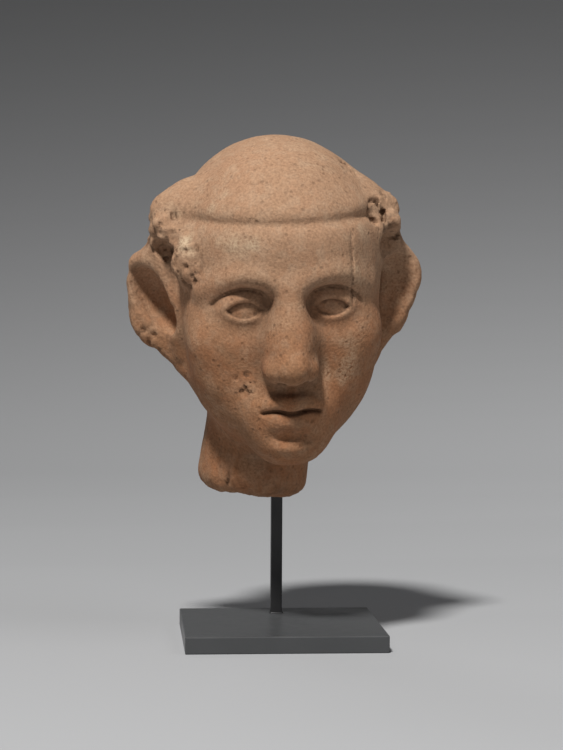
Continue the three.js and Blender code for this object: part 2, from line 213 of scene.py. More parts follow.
def eyeRegion(side, head, opening):
    head = carve(5.5, head, egg(side, (eyeWidth - 0.4, -30, 0.6), (8.4, 4.9, 5.6)))
    ball = size(side - np.array(eyeForm["middle"], np.float32)) - eyeForm["ball"]
    lids = press(0.4, ball - eyeForm["lid"], -opening)
    heavier = eyeForm["rim"] + 0.2 * np.clip(side[:, 2], -1, 1)
    rims = np.hypot(opening - 0.4, ball - eyeForm["lid"] * 0.7) - heavier
    return join(2.6, head, np.minimum(ball, join(0.8, lids, rims)))


def nose(p, side, head):
    head = join(4, head, egg(p, (0, -29, -9.5), (7, 6.5, 11)))
    bridge = limb(p, (0, -28.6, browZ - 1), 2.9, (0, -35.6, noseBaseZ + 4.9), 3.5)
    head = join(5, head, bridge)
    head = join(2.5, head, egg(p, (0, -35.9, noseBaseZ + 4.1), (3.9, 4.2, 3.9)))
    head = join(3, head, egg(side, (4.4, -31.6, noseBaseZ + 3.1), (3.1, 4.3, 3.1)))
    return carve(0.8, head, egg(side, (2.5, -33.8, noseBaseZ - 0.1), (1.3, 2.3, 1.8)))


def mouth(p, side, head):
    upperLip = [
        (0, -30.3, mouthZ + 1.8, 1.9),
        (2.2, -30.6, mouthZ + 2.3, 2.1),
        (5.4, -29.2, mouthZ + 1.7, 1.9),
        (8.4, -26.8, mouthZ + 0.8, 1.3),
    ]
    lowerLip = [
        (0, -29.6, mouthZ - 2.7, 2.8),
        (4, -28.9, mouthZ - 2.3, 2.5),
        (8, -26.8, mouthZ - 0.4, 1.4),
    ]
    head = join(6, head, egg(p, (0, -20.4, -27), (13.5, 10.3, 10.5)))
    head = join(2, head, roll(side, upperLip))
    head = join(2, head, roll(side, lowerLip))
    return carve(2.5, head, egg(p, (0, -31.8, mouthZ - 7.4), (7, 2.4, 1.8)))


# Each ear is a flap with an egg outline, swung a little back, with a bowl pressed in its front.
# Its places are given along the flap, ahead of it and upwards. The -X ear has a deep, narrow bowl
# behind a rolled front edge, the other a wide and shallow one.
earForm = {
    "root": (26, 0.5),
    "swing": {1: 5, -1: 20},
    "thick": 3.4,
    "back": ((5, -2.2, -1), (8, 4.2, 12)),
    "circles": {
        1: [(4, 3.2, 11.2), (2.2, -5.6, 9.2), (-1.6, -16.5, 4.8)],
        -1: [(4.6, 2.6, 11.7), (4.6, -4.5, 11.2), (-1.5, -17, 5.5)],
    },
    "bowlLean": {1: 0.25, -1: 0.42},
    "bowls": {
        1: [((4.2, 6, 0.5), (9.4, 5.6, 12.5)), ((-0.5, 3, -1), (4.6, 5.4, 8.5))],
        -1: [((7.2, 4.4, -0.6), (6, 6.4, 9.8))],
    },
    "frontRoll": [(12.4, 1.6, 9.8, 2.2), (7.4, 3.6, 10.6, 2.5), (3.2, 5.4, 7, 2.6),
                  (1, 6, 0.5, 2.5), (0.4, 5.2, -8, 2.4), (0, 3, -15, 2)],
}


def outlineRound(x, z, circles):
    least = None
    for (ax, az, radiusA), (bx, bz, radiusB) in zip(circles, circles[1:]):
        dx, dz = bx - ax, bz - az
        share = np.clip(((x - ax) * dx + (z - az) * dz) / (dx * dx + dz * dz), 0, 1)
        edge = np.hypot(x - ax - dx * share, z - az - dz * share)
        edge = edge - (radiusA + (radiusB - radiusA) * share)
        least = edge if least is None else np.minimum(least, edge)
    return least


def ears(p, head):
    for sign, circles in earForm["circles"].items():
        swing = math.radians(earForm["swing"][sign])
        cosine, sine = math.cos(swing), math.sin(swing)
        dx = sign * p[:, 0] - earForm["root"][0]
        dy = p[:, 1] - earForm["root"][1]
        onFlap = np.column_stack([dx * cosine + dy * sine, dx * sine - dy * cosine, p[:, 2]])
        outline = outlineRound(onFlap[:, 0], onFlap[:, 2], circles)
        flap = press(3.6, outline, np.abs(onFlap[:, 1]) - earForm["thick"])
        flap = join(3, flap, press(2, outline, egg(onFlap, *earForm["back"])))
        head = join(3, head, flap)
        if sign < 0:
            head = join(2.5, head, roll(onFlap, earForm["frontRoll"]))
        leaning = onFlap.copy()
        leaning[:, 0] -= earForm["bowlLean"][sign] * onFlap[:, 2]
        for place, radii in earForm["bowls"][sign]:
            head = carve(1.6, head, egg(leaning, place, radii))
    return head


# Rough clumps of hair at the temples, and rows of short curls round the back.
hairForm = {
    "middle": (28.6, -2, 20),
    "size": (6.2, 8, 8.4),
    "droop": 1.3,
    "inwards": 1,
    "shoulders": {1: ((23, -2, 26), 3.6), -1: ((24.2, -2, 27.6), 4.2)},
    "curls": {"count": 5, "radius": 3.4, "out": 2.6, "across": 4.6, "up": 5, "start": 0.5},
    "hollows": {1: ((31.2, -9.2, 14), (4.2, 4.6, 3.8)), -1: ((31.8, -8.6, 13.9), (3.8, 5.4, 3.3))},
    "temple": ((25.2, -13, 11.8), (5, 5.6, 6.6)),
    "locks": {"count": 8, "rows": 3, "radius": 4, "ring": (26.4, 31.6), "centreY": 3, "top": 19,
              "fall": 5, "row": 6.4},
}


def balls(p, places, radius):
    least = size(p - np.array(places[0], np.float32))
    for place in places[1:]:
        least = np.minimum(least, size(p - np.array(place, np.float32)))
    return least - radius


def sideHair(p, side, head):
    locks = hairForm["locks"]
    lockPlaces = []
    for i in range(locks["count"]):
        for row in range(locks["rows"]):
            turn = (i + 1 - row % 2 / 2) / locks["count"] * math.pi / 2
            lockX = locks["ring"][0] * math.cos(turn)
            lockY = locks["centreY"] + locks["ring"][1] * math.sin(turn)
            lockZ = locks["top"] - row * locks["row"] - locks["fall"] * math.sin(turn)
            lockPlaces.append((lockX, lockY, lockZ))
    head = join(2.5, head, balls(side, lockPlaces, locks["radius"]))
    drooping = side.copy()
    drooping[:, 2] += np.where(p[:, 0] > 0, hairForm["droop"], 0)
    drooping[:, 0] += np.where(p[:, 0] > 0, hairForm["inwards"], 0)
    head = join(7, head, egg(drooping, hairForm["middle"], hairForm["size"]))
    curls = hairForm["curls"]
    x, y, z = hairForm["middle"]
    curlPlaces = []
    for i in range(curls["count"]):
        turn = i / curls["count"] * 2 * math.pi + curls["start"]
        up = z + curls["up"] * math.sin(turn)
        curlPlaces.append((x + curls["out"], y + curls["across"] * math.cos(turn), up))
    head = join(2, head, balls(drooping, curlPlaces, curls["radius"]))
    for sign, (place, radius) in hairForm["shoulders"].items():
        head = join(7, head, size(p * (sign, 1, 1) - np.array(place, np.float32)) - radius)
    onTheLeft = egg(p * (-1, 1, 1), *hairForm["temple"])
    head = join(3, head, onTheLeft)
    for sign, (place, radii) in hairForm["hollows"].items():
        head = carve(1.8 + 0.8 * sign, head, egg(p * (sign, 1, 1), place, radii))
    return head


# Lines pressed into the surface: the crease below the bald crown, the fold over each upper lid,
# the parting of the lips and the groove above them.
lineForm = {
    "crease": {"z": 23, "depth": 0.65, "width": 1.3, "above": 0.6, "below": 0.3},
    "lidFold": {"depth": 0.5, "width": 0.6, "away": 2.8, "from": 5},
    "parting": {"depth": 1.1, "width": 0.6, "half": 8.8, "wave": 0.35},
    "philtrum": {"depth": 0.5, "width": 1.2},
}


def lineDepth(side, opening):
    across, y, z = side.T
    crease, lidFold, parting, philtrum = lineForm.values()
    up = z - crease["z"]
    depth = crease["depth"] * fade(up, crease["width"])
    depth -= crease["above"] * fade(up - 3.8, 2.8) + crease["below"] * fade(up + 4.2, 3.2)
    besideNose = np.clip((across - lidFold["from"]) / 2, 0, 1) * np.clip(z / 1.5, 0, 1)
    depth += lidFold["depth"] * besideNose * fade(opening - lidFold["away"], lidFold["width"])
    bow = parting["wave"] * np.cos(2 * np.pi * across / parting["half"])
    lipLine = fade(z - mouthZ + 0.3 + bow, parting["width"])
    depth += parting["depth"] * lipLine * np.clip((parting["half"] - across) / 1.5, 0, 1)
    low, high = mouthZ + 3.8, noseBaseZ - 1
    groove = np.clip(z - low, 0, 1) * np.clip(high - z, 0, 1)
    depth += philtrum["depth"] * groove * fade(across, philtrum["width"])
    return np.clip((-y - 4) / 8, 0, 1) * depth


neckForm = {
    "top": (-1.5, 7, -16),
    "foot": (-8.5, 5, -58),
    "radius": 15.2,
    "depth": 1.25,  # times its width
    "breakHeight": 39.4,  # above the plate's underside, at the bar
    "breakLean": 7,  # degrees, rising towards -X
}


def breakPlane():
    lean = math.radians(neckForm["breakLean"])
    down = headBack.to_3x3() @ Vector((-math.sin(lean), 0, -math.cos(lean)))
    level = down.dot(headBack @ Vector((0, 0, neckForm["breakHeight"])))
    return np.array(down, np.float32), level


def neck(p, head):
    deep = np.array((1, 1 / neckForm["depth"], 1), np.float32)
    top, foot = (np.array(neckForm[end], np.float32) * deep for end in ("top", "foot"))
    column = limb(p * deep, top, neckForm["radius"], foot + (foot - top) * 0.5, neckForm["radius"])
    head = join(5, head, column)
    down, level = breakPlane()
    ripple = 0.3 * np.sin(0.45 * p[:, 0] + 1) + 0.3 * np.sin(0.5 * p[:, 1] + 0.3 * p[:, 0])
    return press(6, head, p @ down - level + ripple)


# Socket for the bar, in the stand's own frame.
barForm = {"side": 3.2, "x": 0, "y": 17.3, "top": 64, "clear": 0.3}


def socket(p):
    onStand = placed(headMatrix, p)
    reach = barForm["side"] / 2 + barForm["clear"]
    aside = np.maximum(np.abs(onStand[:, 0] - barForm["x"]), np.abs(onStand[:, 1] - barForm["y"]))
    return np.maximum(aside - reach, onStand[:, 2] - barForm["top"] - barForm["clear"])


# Damage and wear, placed in the head's frame. A crack is x, from z, to z, width and depth, and a
# flaw is a place, its reach, the size of its small hollows and their depth.
wearForm = {
    "seed": 7,
    "uneven": 0.32,  # height of the slow hand-made unevenness
    "cracks": [(17.5, 21, -1.5, 0.32, 0.4), (0.6, -3, -11, 0.25, 0.3), (-15.9, -47, -54, 0.3, 0.5)],
    "flaws": [((27.4, -10, 22.2), (7, 6, 5.2), 1.9, 1.5),
              ((19.8, -5.2, 34.4), (4.2, 3.6, 3.4), 1.3, 0.9),
              ((-1.3, -2.4, 43.3), (3.6, 1.6, 1.4), 1.1, 0.6),
              ((-31, -9, 21.5), (5.5, 5.5, 6.5), 1.8, 0.9),
              ((-26, -16, 11), (6.5, 6, 7), 1.4, 0.6),
              ((-36, 0, -12), (4.5, 4, 5), 1.5, 0.6),
              ((-12, -27, -20), (4, 4, 4), 1.3, 0.5)],
}


def crackDepth(p):
    depth = 0
    for x, top, foot, width, deep in wearForm["cracks"]:
        wander = 0.35 * clayNoise(p * (0, 0, 1), 4.5, 31) + 0.12 * clayNoise(p * (0, 0, 1), 1.2, 32)
        ends = ramp(top - p[:, 2], 0, 2) * ramp(p[:, 2] - foot, 0, 3)
        inFront = ramp(-p[:, 1], 2, 6)
        depth = depth + deep * ends * inFront * fade(p[:, 0] - x - wander, width)
    return depth


# How rough each place is, from 0 on the bald crown to 1 on the clumps and the break.
def roughness(p, side):
    clump = size((side - np.array(hairForm["middle"], np.float32)) / (8.5, 10.5, 9.5))
    inHair = (1 - ramp(clump, 0.85, 1.15)) * (1 - 0.7 * ramp(side[:, 2] - p[:, 0] / 12, 23.5, 28))
    onEar = ramp(side[:, 0], 28, 33) * (1 - ramp(side[:, 2], 10, 15))
    down, level = breakPlane()
    atBreak = ramp(p @ down - level, -3, -1)
    place, radii = hairForm["temple"]
    reach = np.array(radii, np.float32) * 1.15
    temple = 1 - ramp(size((p * (-1, 1, 1) - np.array(place, np.float32)) / reach), 0.85, 1.2)
    rough = np.maximum(np.maximum(inHair, 0.7 * temple), np.maximum(0.3 * onEar, 0.45 * atBreak))
    return np.clip(rough, 0, 1)


def wornDepth(p, side):
    seed = wearForm["seed"]
    depth = wearForm["uneven"] * (clayNoise(p, 13, seed) + 0.45 * clayNoise(p, 5.5, seed + 1))
    rough = roughness(p, side)
    lumps = 0.45 * clayNoise(p, 3.3, seed + 2) + 0.32 * clayNoise(p, 1.6, seed + 3)
    hollows = ramp(clayNoise(p, 2.2, seed + 4), 0.35, 0.8)
    depth += rough * (lumps + 0.6 * hollows) + crackDepth(p)
    for place, reach, spacing, deep in wearForm["flaws"]:
        away = size((p - np.array(place, np.float32)) / np.array(reach, np.float32))
        close = away < 1.1
        hollow = ramp(clayNoise(p[close], spacing, seed + 6), 0.05, 0.5)
        depth[close] += deep * hollow * (1 - ramp(away[close], 0.55, 1.1))
    brushed = clayNoise(p * (1, 1, 0.1), 0.9, seed + 5)
    return depth + 0.09 * brushed * ramp(-p[:, 2], 34, 44)


def headField(p):
    side = mirrored(p)
    opening = almond(side)
    head = eyeRegion(side, skull(p, side), opening)
    head = mouth(p, side, nose(p, side, head))
    head = ears(p, head)
    near = np.abs(head) < 6
    head[near] += lineDepth(side[near], opening[near])
    head = neck(p, sideHair(p, side, head))
    near = np.abs(head) < 3.5
    head[near] += wornDepth(p[near], side[near])
    return np.maximum(head, -socket(p))


def inChunks(field, points, chunk=60000):
    return np.concatenate([field(points[i : i + chunk]) for i in range(0, len(points), chunk)])


# A net over a grid of cells: one vertex where the surface crosses a cell, one face at each grid
# edge that it crosses. A first coarse pass finds the blocks of cells that matter.
def netOver(field, low, high, cell, block=4):
    blocks = np.ceil((np.array(high) - low) / (cell * block)).astype(int)
    counts = blocks * block + 1
    ticks = [(low[a] + cell * np.arange(counts[a])).astype(np.float32) for a in range(3)]
    coarse = np.stack(np.meshgrid(*(t[::block] for t in ticks), indexing="ij"), -1)
    rough = inChunks(field, coarse.reshape(-1, 3)).reshape(blocks + 1)
    least = np.full(blocks, np.inf)
    for bits in range(8):
        cut = tuple(slice(bits >> a & 1, blocks[a] + (bits >> a & 1)) for a in range(3))
        least = np.minimum(least, np.abs(rough[cut]))
    busy = least < cell * block * 1.15
    nearest = [np.minimum((np.arange(n) + block // 2) // block, b) for n, b in zip(counts, blocks)]
    values = np.where(rough[np.ix_(*nearest)] < 0, -9, 9).astype(np.float32)
    wanted = np.zeros(counts, bool)
    spread = busy.repeat(block, 0).repeat(block, 1).repeat(block, 2)
    for bits in range(8):
        cut = tuple(slice(bits >> a & 1, counts[a] - 1 + (bits >> a & 1)) for a in range(3))
        wanted[cut] |= spread
    where = np.nonzero(wanted)
    points = np.column_stack([ticks[a][where[a]] for a in range(3)])
    values[where] = inChunks(field, points)
    values = withoutPinches(values)
    return netFaces(field, values, ticks)


def cornerCut(bits, counts):
    return tuple(slice(bits >> a & 1, counts[a] - 1 + (bits >> a & 1)) for a in range(3))


# A cell whose corners on one side don't hang together would pinch the surface.
def pinches(code):
    for side in (0, 1):
        group = {c for c in range(8) if (code >> c & 1) == side}
        reached = set(list(group)[:1])
        waiting = list(reached)
        while waiting:
            corner = waiting.pop()
            for step in (1, 2, 4):
                if corner ^ step in group and corner ^ step not in reached:
                    reached.add(corner ^ step)
                    waiting.append(corner ^ step)
        if len(reached) < len(group):
            return True
    return False


pinchTable = np.array([pinches(code) for code in range(256)])


def cellCodes(values):
    inside = values < 0
    code = np.zeros(np.array(values.shape) - 1, np.uint8)
    for bits in range(8):
        code |= inside[cornerCut(bits, values.shape)].astype(np.uint8) << bits
    return code


def withoutPinches(values):
    for attempt in range(30):
        bad = np.argwhere(pinchTable[cellCodes(values)])
        if not len(bad):
            break
        steps = np.array([[bits >> a & 1 for a in range(3)] for bits in range(8)])
        corners = bad[:, None, :] + steps
        held = values[tuple(corners.transpose(2, 0, 1))]
        pick = np.where(held < 0, np.inf, held).argmin(1)
        chosen = corners[np.arange(len(bad)), pick]
        values[tuple(chosen.T)] = -1e-3
    return values


def netFaces(field, values, ticks):
    code = cellCodes(values)
    active = (code > 0) & (code < 255)
    cells = np.argwhere(active)
    number = np.full(code.shape, -1, np.int64)
    number[active] = np.arange(len(cells))
    low = np.column_stack([ticks[a][cells[:, a]] for a in range(3)])
    high = np.column_stack([ticks[a][cells[:, a] + 1] for a in range(3)])
    total = np.zeros((len(cells), 3), np.float32)
    crossings = np.zeros(len(cells), np.float32)
    for bits in range(8):
        for axis in range(3):
            if bits >> axis & 1:
                continue
            first = cells + [bits >> a & 1 for a in range(3)]
            second = first + [int(a == axis) for a in range(3)]
            va, vb = values[tuple(first.T)], values[tuple(second.T)]
            crossed = (va < 0) != (vb < 0)
            share = np.where(crossed, va / np.where(crossed, va - vb, 1), 0)
            spot = np.where(np.array([bits >> a & 1 for a in range(3)], bool), high, low)
            spot[:, axis] += share * (high[:, axis] - low[:, axis])
            total += np.where(crossed[:, None], spot, 0)
            crossings += crossed
    vertices = total / crossings[:, None]
    for attempt in range(2):
        slope, value = slopeAt(field, vertices)
        square = np.maximum((slope**2).sum(1), 0.05)
        vertices = np.clip(vertices - slope * (value / square)[:, None], low, high)
    faces = []
    inside = values < 0
    for axis in range(3):
        b, c = (axis + 1) % 3, (axis + 2) % 3
        lower = [slice(1, n - 1) for n in values.shape]
        lower[axis] = slice(0, values.shape[axis] - 1)
        upper = list(lower)
        upper[axis] = slice(1, values.shape[axis])
        start = inside[tuple(lower)]
        crossed = np.argwhere(start != inside[tuple(upper)])
        outwards = start[tuple(crossed.T)]
        crossed += [0 if a == axis else 1 for a in range(3)]
        stepB = np.array([int(a == b) for a in range(3)])
        stepC = np.array([int(a == c) for a in range(3)])
        ring = [crossed, crossed - stepB, crossed - stepB - stepC, crossed - stepC]
        ring = np.column_stack([number[tuple(r.T)] for r in ring])
        ring[~outwards] = ring[~outwards][:, ::-1]
        faces.append(ring)
    return vertices, np.vstack(faces)


def slopeAt(field, points, nudge=0.05):
    value = inChunks(field, points)
    slope = np.zeros_like(points)
    for axis in range(3):
        moved = points.copy()
        moved[:, axis] += nudge
        slope[:, axis] = (inChunks(field, moved) - value) / nudge
    return slope, value


def meshFrom(name, vertices, faces):
    mesh = bpy.data.meshes.new(name)
    mesh.vertices.add(len(vertices))
    mesh.vertices.foreach_set("co", np.ascontiguousarray(vertices, np.float32).ravel())
    mesh.loops.add(faces.size)
    mesh.loops.foreach_set("vertex_index", faces.astype(np.int32).ravel())
    mesh.polygons.add(len(faces))
    mesh.polygons.foreach_set("loop_start", np.arange(0, faces.size, 4, dtype=np.int32))
    mesh.update(calc_edges=True)
    mesh.validate()
    piece = bpy.data.objects.new(name, mesh)
    bpy.context.scene.collection.objects.link(piece)
    return piece


def keepAttribute(mesh, name, values):
    made = mesh.attributes.new(name, "FLOAT", "POINT")
    made.data.foreach_set("value", np.ascontiguousarray(values, np.float32))


# Masks for the finish, kept at the mesh's points: how hollow, how worn, how rough, how pale and how high. The
# hollow mask darkens the clay as dirt and painted shade, and the height mask lightens it as painted light on
# the top.
def addMasks(mesh, points):
    slope, value = slopeAt(headField, points)
    normal = slope / np.maximum(size(slope), 1e-6)[:, None]
    # An occlusion estimate: how much of the surface round each point closes over it. The finish darkens by
    # it, as dirt and as painted shade in hollows.
    hollow = np.zeros(len(points), np.float32)
    for reach, weight in ((0.8, 0.3), (2, 0.35), (4.5, 0.35)):
        outside = inChunks(headField, points + normal * reach)
        hollow += weight * np.clip((reach - outside) / reach, 0, 1)
    inside = inChunks(headField, points - normal * 1.4)
    side = mirrored(points)
    pale = ramp(clayNoise(points, 9, 51) + 0.6 * clayNoise(points, 3, 52), 0.1, 0.9)
    keepAttribute(mesh, "hollow", hollow)
    keepAttribute(mesh, "worn", np.clip((inside + 1.4) / 1.4, 0, 1))
    keepAttribute(mesh, "rough", roughness(points, side))
    keepAttribute(mesh, "pale", pale * paleReach(points))
    # Higher points get more of this mask. The finish lightens them with it: painted light on the top of the
    # head.
    keepAttribute(mesh, "upper", ramp(points[:, 2], -18, 22))


# Pale chalky deposits lie thickest over the temple and forehead on the -X side.
paleForm = [((-24, -16, 22), (12, 12, 9), 1), ((-6, -30, 18), (15, 10, 5), 0.7),
            ((-14, -24, 30), (6, 8, 6), 0.6), ((19, -22, 14), (5, 8, 12), 0.45),
            ((14, -26, -16), (7, 7, 9), 0.4)]


def paleReach(points):
    reach = np.full(len(points), 0.12, np.float32)
    for place, radii, strength in paleForm:
        away = size((points - np.array(place, np.float32)) / np.array(radii, np.float32))
        reach = np.maximum(reach, strength * (1 - ramp(away, 0.35, 1.25)))
    return reach


def makeHead():
    cell = headForm["cell"]
    vertices, faces = netOver(headField, (-46, -43, -66), (46, 42, 46), cell)
    piece = meshFrom("clayHead", placed(headMatrix, vertices) * mm, faces)
    piece.data.polygons.foreach_set("use_smooth", np.ones(len(faces), bool))
    addMasks(piece.data, vertices)
    print("head:", len(vertices), "vertices,", 2 * len(faces), "triangles")
    return piece


# Small helpers for node trees. A value that is a socket is linked, any other is set.
def addNode(tree, kind, inputs=None, **settings):
    made = tree.nodes.new(kind)
    for name, value in settings.items():
        setattr(made, name, value)
    for name, value in (inputs or {}).items():
        feed(tree, made.inputs[name], value)
    return made


def feed(tree, socket, value):
    if isinstance(value, bpy.types.NodeSocket):
        tree.links.new(value, socket)
    else:
        socket.default_value = value


def maths(tree, operation, a, b=0.0, c=0.0, clamp=False):
    made = tree.nodes.new("ShaderNodeMath")
    made.operation = operation
    made.use_clamp = clamp
    for socket, value in zip(made.inputs, (a, b, c)):
        feed(tree, socket, value)
    return made.outputs[0]


def mixed(tree, share, a, b, blend="MIX"):
    made = tree.nodes.new("ShaderNodeMix")
    made.data_type = "RGBA"
    made.blend_type = blend
    for name, value in (("Factor_Float", share), ("A_Color", a), ("B_Color", b)):
        feed(tree, next(s for s in made.inputs if s.identifier == name), value)
    return next(s for s in made.outputs if s.identifier == "Result_Color")


def between(tree, value, low, high, toLow=0.0, toHigh=1.0):
    made = addNode(tree, "ShaderNodeMapRange", {"Value": value, "From Min": low, "From Max": high,
                                                "To Min": toLow, "To Max": toHigh})
    made.interpolation_type = "SMOOTHSTEP"
    return made.outputs["Result"]


def newTree(name, kind, inputs, outputs):
    tree = bpy.data.node_groups.new(name, kind)
    for socketName, socketKind, value in inputs:
        made = tree.interface.new_socket(socketName, in_out="INPUT", socket_type=socketKind)
        if value is not None:
            made.default_value = value
    for socketName, socketKind in outputs:
        tree.interface.new_socket(socketName, in_out="OUTPUT", socket_type=socketKind)
    return tree, tree.nodes.new("NodeGroupInput").outputs, tree.nodes.new("NodeGroupOutput").inputs


# Fine grain for clay and for sprayed paint. Size is the grain's width in millimetres.
def makeGrainGroup():
    tree, given, result = newTree(
        "fineGrain", "ShaderNodeTree",
        [("Size", "NodeSocketFloat", 0.6), ("Pits", "NodeSocketFloat", 0.3)],
        [("Height", "NodeSocketFloat"), ("Tone", "NodeSocketFloat")],
    )
    place = addNode(tree, "ShaderNodeTexCoord").outputs["Object"]
    scale = maths(tree, "DIVIDE", 1000.0, given["Size"])
    grain = addNode(tree, "ShaderNodeTexNoise",
                    {"Vector": place, "Scale": scale, "Detail": 4.0, "Roughness": 0.62})
    dots = addNode(tree, "ShaderNodeTexVoronoi",
                   {"Vector": place, "Scale": maths(tree, "MULTIPLY", scale, 0.45)})
    size = between(tree, addNode(tree, "ShaderNodeSeparateColor", {"Color": dots.outputs["Color"]})
                   .outputs[0], 0.55, 1.0, 0.0, 0.42)
    pit = maths(tree, "SUBTRACT", size, dots.outputs["Distance"], clamp=True)
    pit = maths(tree, "MULTIPLY", pit, given["Pits"])
    height = maths(tree, "SUBTRACT", grain.outputs[0], maths(tree, "MULTIPLY", pit, 4.0))
    feed(tree, result["Height"], height)
    feed(tree, result["Tone"], maths(tree, "SUBTRACT", grain.outputs[0],
                                     maths(tree, "MULTIPLY", pit, 2.5), clamp=True))
    return tree


# Soft patches of two tones, and specks of dust or grit, for every finish.
def makePatchGroup():
    tree, given, result = newTree(
        "patches", "ShaderNodeTree",
        [("Size", "NodeSocketFloat", 8.0), ("Share", "NodeSocketFloat", 0.5),
         ("Softness", "NodeSocketFloat", 0.12), ("Shift", "NodeSocketFloat", 0.0)],
        [("Mask", "NodeSocketFloat")],
    )
    place = addNode(tree, "ShaderNodeTexCoord").outputs["Object"]
    moved = addNode(tree, "ShaderNodeVectorMath", {0: place}, operation="ADD")
    shift = addNode(tree, "ShaderNodeCombineXYZ", {"X": given["Shift"], "Z": given["Shift"]})
    tree.links.new(shift.outputs[0], moved.inputs[1])
    noise = addNode(tree, "ShaderNodeTexNoise",
                    {"Vector": moved.outputs[0], "Scale": maths(tree, "DIVIDE", 1000.0, given["Size"]),
                     "Detail": 5.0, "Roughness": 0.6, "Distortion": 0.4})
    middle = maths(tree, "SUBTRACT", 1.0, given["Share"])
    low = maths(tree, "SUBTRACT", middle, given["Softness"])
    high = maths(tree, "ADD", middle, given["Softness"])
    feed(tree, result["Mask"], between(tree, noise.outputs[0], low, high))
    return tree


def useGroup(tree, group, inputs):
    made = tree.nodes.new("ShaderNodeGroup")
    made.node_tree = group
    for name, value in inputs.items():
        feed(tree, made.inputs[name], value)
    return made.outputs


def newMaterial(name, colour):
    material = bpy.data.materials.new(name)
    material.use_nodes = True
    material.diffuse_color = (*colour, 1)
    tree = material.node_tree
    return material, tree, tree.nodes["Principled BSDF"]


def colour(red, green, blue):
    return tuple((c / 255 / 12.92 if c < 10 else ((c / 255 + 0.055) / 1.055) ** 2.4)
                 for c in (red, green, blue)) + (1,)


clayLook = {
    "clay": (146, 106, 76),
    "orange": (154, 102, 68),
    "buff": (172, 140, 113),
    "chalk": (190, 170, 142),
    "soilAndShade": (70, 47, 32),
    "char": (44, 33, 26),
    "roughness": 0.92,
    "grainSize": 0.7,
    "bump": 0.8,
}


def makeClay(grainGroup, patchGroup):
    look = clayLook
    material, tree, shader = newMaterial("terracotta", colour(*look["clay"])[:3])
    masks = {name: addNode(tree, "ShaderNodeAttribute", attribute_name=name).outputs["Fac"]
             for name in ("hollow", "worn", "rough", "pale", "upper")}
    grain = useGroup(tree, grainGroup, {"Size": look["grainSize"], "Pits": 0.5})
    wide = useGroup(tree, patchGroup, {"Size": 14.0, "Share": 0.5, "Softness": 0.16})["Mask"]
    small = useGroup(tree, patchGroup, {"Size": 3.5, "Share": 0.45, "Softness": 0.14,
                                        "Shift": 0.37})["Mask"]
    specks = useGroup(tree, patchGroup, {"Size": 0.9, "Share": 0.26, "Softness": 0.04,
                                         "Shift": 0.71})["Mask"]
    tint = mixed(tree, maths(tree, "MULTIPLY", wide, 0.75), colour(*look["clay"]),
                 colour(*look["orange"]))
    # Higher parts turn buff: painted light on the top of the head. Small random patches turn buff too.
    buff = maths(tree, "MULTIPLY_ADD", masks["upper"], 0.62, maths(tree, "MULTIPLY", small, 0.3))
    tint = mixed(tree, buff, tint, colour(*look["buff"]))
    chalk = maths(tree, "MULTIPLY", masks["pale"], between(tree, grain["Tone"], 0.3, 0.55))
    tint = mixed(tree, maths(tree, "MULTIPLY", chalk, 0.85), tint, colour(*look["chalk"]))
    tint = mixed(tree, maths(tree, "MULTIPLY", masks["worn"], 0.25), tint, colour(*look["buff"]))
    # Hollows darken towards brown: dirt in them, and painted shade where shade falls.
    dirtAndShade = between(tree, masks["hollow"], 0.12, 0.75)
    tint = mixed(tree, maths(tree, "MULTIPLY", dirtAndShade, 0.7), tint, colour(*look["soilAndShade"]))
    dark = maths(tree, "MULTIPLY", specks, maths(tree, "MULTIPLY_ADD", masks["rough"], 0.5, 0.22))
    tint = mixed(tree, dark, tint, colour(*look["char"]))
    toned = between(tree, grain["Tone"], 0.2, 0.75, 0.72, 1.18)
    tint = mixed(tree, 1.0, tint, addNode(tree, "ShaderNodeCombineColor", {
        "Red": toned, "Green": toned, "Blue": toned}).outputs[0], "MULTIPLY")
    feed(tree, shader.inputs["Base Color"], tint)
    shader.inputs["Roughness"].default_value = look["roughness"]
    shader.inputs["Specular IOR Level"].default_value = 0.25
    bump = addNode(tree, "ShaderNodeBump", {"Strength": look["bump"], "Distance": 0.25 * mm,
                                            "Height": grain["Height"]})
    feed(tree, shader.inputs["Normal"], bump.outputs[0])
    return material


paintLook = {
    "bar": {"colour": (40, 40, 41), "roughness": 0.42, "grain": 0.25, "dust": 0.1},
    "plate": {"colour": (66, 67, 68), "roughness": 0.38, "grain": 0.3, "dust": 0.22},
}


def makePaint(name, look, grainGroup, patchGroup):
    material, tree, shader = newMaterial(name, colour(*look["colour"])[:3])
    grain = useGroup(tree, grainGroup, {"Size": look["grain"], "Pits": 0.15})
    cloud = useGroup(tree, patchGroup, {"Size": 16.0, "Share": 0.5, "Softness": 0.25})["Mask"]
    dust = useGroup(tree, patchGroup, {"Size": 0.7, "Share": 0.24, "Softness": 0.02,
                                       "Shift": 0.53})["Mask"]
    base = colour(*look["colour"])
    lighter = tuple(min(1, c * 1.35) for c in base[:3]) + (1,)
    tint = mixed(tree, maths(tree, "MULTIPLY", cloud, 0.35), base, lighter)
    tint = mixed(tree, maths(tree, "MULTIPLY", dust, look["dust"]), tint, colour(150, 150, 148))
    feed(tree, shader.inputs["Base Color"], tint)
    shine = between(tree, cloud, 0.0, 1.0, look["roughness"] - 0.05, look["roughness"] + 0.08)
    feed(tree, shader.inputs["Roughness"], shine)
    bump = addNode(tree, "ShaderNodeBump", {"Strength": 0.12, "Distance": 0.03 * mm,
                                            "Height": grain["Height"]})
    feed(tree, shader.inputs["Normal"], bump.outputs[0])
    return material


# Grain and small pits pushed into the head's surface, rougher on the hair and the break.
skinForm = {"Grain Size": 1.3, "Grain Height": 0.14, "Pit Size": 3.4, "Pit Depth": 0.28, "Seed": 5}


